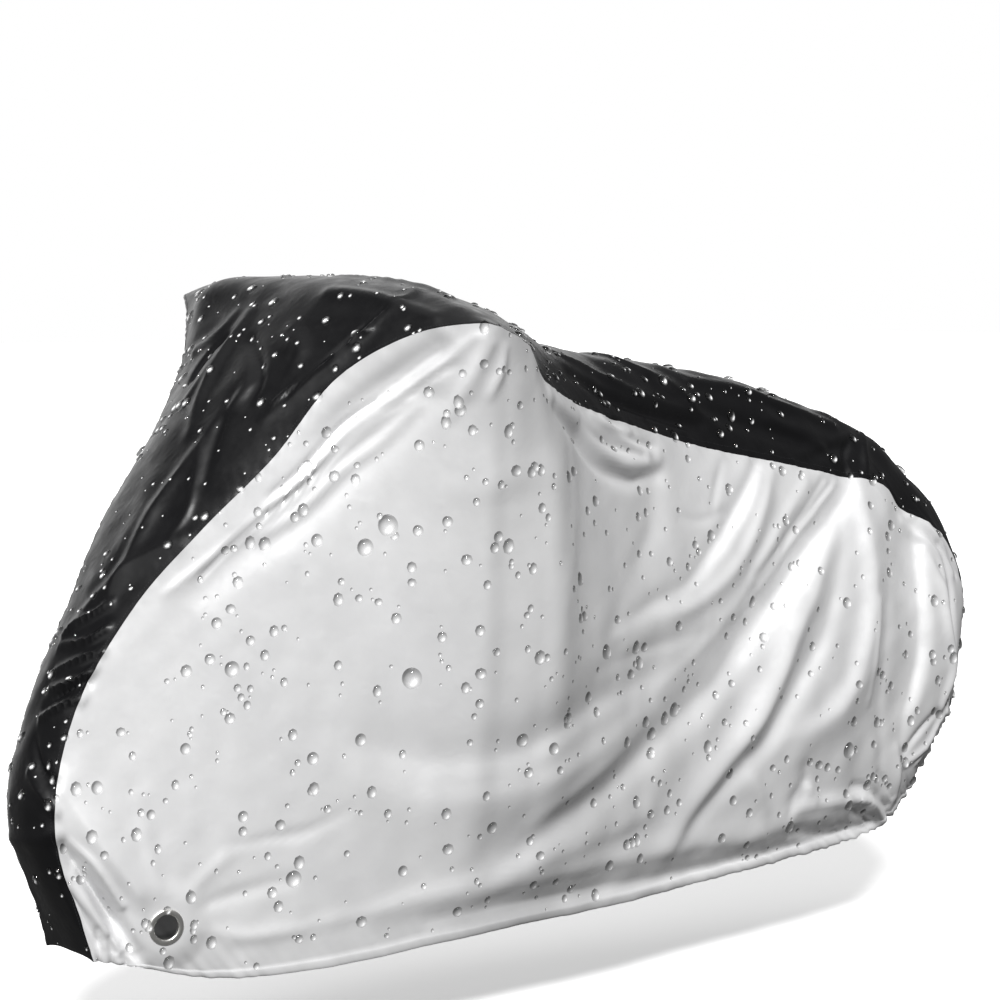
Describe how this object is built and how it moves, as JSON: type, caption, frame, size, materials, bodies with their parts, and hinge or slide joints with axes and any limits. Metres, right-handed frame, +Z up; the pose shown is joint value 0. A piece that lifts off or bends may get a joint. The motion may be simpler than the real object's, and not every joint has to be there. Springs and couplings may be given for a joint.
{
  "type": "fitted bicycle cover",
  "caption": "Fitted bicycle cover, hung as over a bicycle: black top panel between silver side panels, gathered hem, and an eyelet for a lock low in front.",
  "frame": {"origin": "on the inner face of the top panel, where the saddle carries the cover; the ground is 1.047 m below", "axes": "+X along the bicycle towards its rear wheel, +Y across it towards the far side, +Z up"},
  "size_m": [1.9547, 0.7917, 1.0682],
  "materials": {
    "side_panel_near": "silver coated cloth, satin",
    "side_panel_far": "silver coated cloth, satin",
    "top_panel": "black coated cloth, satin",
    "eyelet_strip_near": "silver coated cloth, satin",
    "eyelet_strip_far": "silver coated cloth, satin",
    "eyelet_near": "nickel plated, polished",
    "eyelet_far": "nickel plated, polished"
  },
  "bodies": {
    "root": {"side_panel_near": "side_panel_near", "side_panel_far": "side_panel_far", "top_panel": "top_panel", "eyelet_strip_near": "eyelet_strip_near", "eyelet_strip_far": "eyelet_strip_far", "eyelet_near": "eyelet_near", "eyelet_far": "eyelet_far"}
  },
  "joints": []
}
